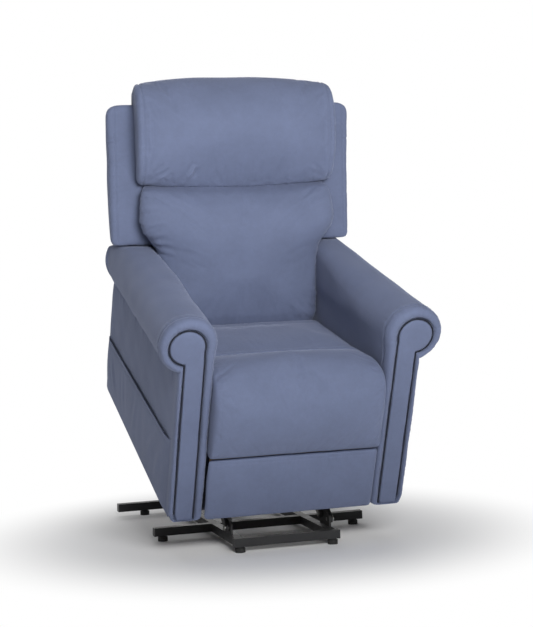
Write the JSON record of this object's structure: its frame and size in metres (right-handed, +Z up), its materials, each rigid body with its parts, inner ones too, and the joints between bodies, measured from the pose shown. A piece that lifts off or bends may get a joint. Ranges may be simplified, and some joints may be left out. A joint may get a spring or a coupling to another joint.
{
  "type": "lift recliner chair",
  "caption": "Upholstered power lift recliner chair with rolled arms on a steel lift base; the seat lifts and tilts forward, the back reclines and the footrest extends.",
  "frame": {"origin": "middle of the part's box at floor level", "axes": "+Z up, -Y towards the front of the chair, +X to the right of a viewer in front of it"},
  "size_m": [0.8338, 1.0415, 1.4081],
  "materials": {
    "upholstery": "soft brushed microfibre",
    "timber": "raw",
    "black_plastic": "matte",
    "foot_rubber": "matte",
    "black_steel": "satin black",
    "zinc_steel": "satin",
    "spring_wire": "satin"
  },
  "bodies": {
    "base": {"base_front_tube": "black_steel", "base_middle_tube": "black_steel", "base_rear_tube": "black_steel", "base_long_tubes": "black_steel", "tube_end_caps": "black_plastic", "feet": "foot_rubber", "link_brackets": "black_steel", "base_pivot_pins": "zinc_steel", "lift_motor_bracket": "black_steel"},
    "front_lift_links": {"front_lift_links": "black_steel"},
    "rear_lift_links": {"rear_lift_links": "black_steel", "rear_link_tube": "black_steel"},
    "lift_motor": {"lift_motor": "black_plastic"},
    "lift_rod": {"lift_rod": "zinc_steel"},
    "back": {"back_brackets": "black_steel", "back_posts": "timber", "back_rails": "timber", "back_drive_tube": "black_steel", "back_springs": "spring_wire", "outer_back": "upholstery", "wing_left": "upholstery", "wing_right": "upholstery", "lower_back_cushion": "upholstery", "head_cushion": "upholstery"},
    "footrest_rear_links": {"footrest_rear_links": "black_steel", "footrest_drive_tube": "black_steel"},
    "footrest_front_links": {"footrest_front_links": "black_steel"},
    "footrest_panel": {"footrest_board": "timber", "footrest_pad": "upholstery"},
    "footrest_motor": {"footrest_motor": "black_plastic"},
    "footrest_rod": {"footrest_rod": "zinc_steel"},
    "back_motor": {"back_motor": "black_plastic"},
    "back_rod": {"back_rod": "zinc_steel"},
    "chair": {"lift_rails": "black_steel", "lift_cross_tubes": "black_steel", "lift_pins": "zinc_steel", "mechanism_plate_left": "black_steel", "mechanism_plate_right": "black_steel", "mechanism_tubes": "black_steel", "mechanism_pins": "zinc_steel", "seat_side_rails": "timber", "seat_cross_rails": "timber", "seat_springs": "spring_wire", "seat_cushion": "upholstery", "arm_frames": "timber", "arm_inner_panel_left": "upholstery", "arm_inner_panel_right": "upholstery", "arm_outer_panel_left": "upholstery", "arm_outer_panel_right": "upholstery", "arm_roll_left": "upholstery", "arm_roll_right": "upholstery", "arm_border_left": "upholstery", "arm_border_right": "upholstery", "arm_inset_left": "upholstery", "arm_inset_right": "upholstery", "side_pocket_left": "upholstery", "side_pocket_right": "upholstery", "control_box": "black_plastic", "power_inlet": "black_plastic"}
  },
  "joints": [
    {"name": "lift", "type": "hinge", "parent": "base", "child": "rear_lift_links", "pos_m": [0, -0.1553, 0.0745], "axis": [1, 0, 0], "range_deg": [-31.94, 13.06]},
    {"name": "chair_tilt", "type": "hinge", "parent": "rear_lift_links", "child": "chair", "pos_m": [0, 0.30734, 0.41065], "axis": [1, 0, 0], "range_deg": [-4.1, 10]},
    {"name": "front_link_turn", "type": "hinge", "parent": "base", "child": "front_lift_links", "pos_m": [0, -0.1949, 0.0616], "axis": [1, 0, 0], "range_deg": [-37.84, 15.48]},
    {"name": "lift_motor_swing", "type": "hinge", "parent": "base", "child": "lift_motor", "pos_m": [0, 0.457, 0.064], "axis": [1, 0, 0], "range_deg": [-0.85, 2.05]},
    {"name": "lift_rod_slide", "type": "slide", "parent": "lift_motor", "child": "lift_rod", "axis": [0, -0.9937, 0.1123], "range_m": [-0.02843, 0.01168]},
    {"name": "recline", "type": "hinge", "parent": "chair", "child": "back", "pos_m": [0, 0.27438, 0.59902], "axis": [-1, 0, 0], "range_deg": [0, 38]},
    {"name": "back_motor_swing", "type": "hinge", "parent": "chair", "child": "back_motor", "pos_m": [0, -0.02555, 0.39371], "axis": [1, 0, 0], "range_deg": [-4.33, 0]},
    {"name": "back_rod_slide", "type": "slide", "parent": "back_motor", "child": "back_rod", "axis": [0, 0.8901, 0.4558], "range_m": [-0.03861, 0]},
    {"name": "footrest", "type": "hinge", "parent": "chair", "child": "footrest_rear_links", "pos_m": [0, -0.16969, 0.40343], "axis": [-1, 0, 0], "range_deg": [0, 68.03]},
    {"name": "footrest_knee", "type": "hinge", "parent": "footrest_rear_links", "child": "footrest_front_links", "pos_m": [0, -0.09676, 0.20424], "axis": [-1, 0, 0], "range_deg": [-87.45, 0]},
    {"name": "footrest_board_turn", "type": "hinge", "parent": "footrest_front_links", "child": "footrest_panel", "pos_m": [0, -0.29632, 0.23902], "axis": [-1, 0, 0], "range_deg": [0, 99.42]},
    {"name": "footrest_motor_swing", "type": "hinge", "parent": "chair", "child": "footrest_motor", "pos_m": [0, 0.20423, 0.479], "axis": [1, 0, 0], "range_deg": [-5.15, 0]},
    {"name": "footrest_rod_slide", "type": "slide", "parent": "footrest_motor", "child": "footrest_rod", "axis": [0, -0.9471, -0.3209], "range_m": [0, 0.04302]}
  ],
  "couplings": [
    {"joint": "chair_tilt", "follows": "lift", "ratio": -0.31255},
    {"joint": "front_link_turn", "follows": "lift", "ratio": 1.184},
    {"joint": "lift_motor_swing", "follows": "lift", "ratio": -0.063632},
    {"joint": "lift_rod_slide", "follows": "lift", "m_per_rad": 0.050822},
    {"joint": "back_motor_swing", "follows": "recline", "ratio": -0.1133},
    {"joint": "back_rod_slide", "follows": "recline", "m_per_rad": -0.058069},
    {"joint": "footrest_knee", "follows": "footrest", "ratio": -1.2851},
    {"joint": "footrest_board_turn", "follows": "footrest", "ratio": 1.461},
    {"joint": "footrest_motor_swing", "follows": "footrest", "ratio": -0.075396},
    {"joint": "footrest_rod_slide", "follows": "footrest", "m_per_rad": 0.03615}
  ]
}
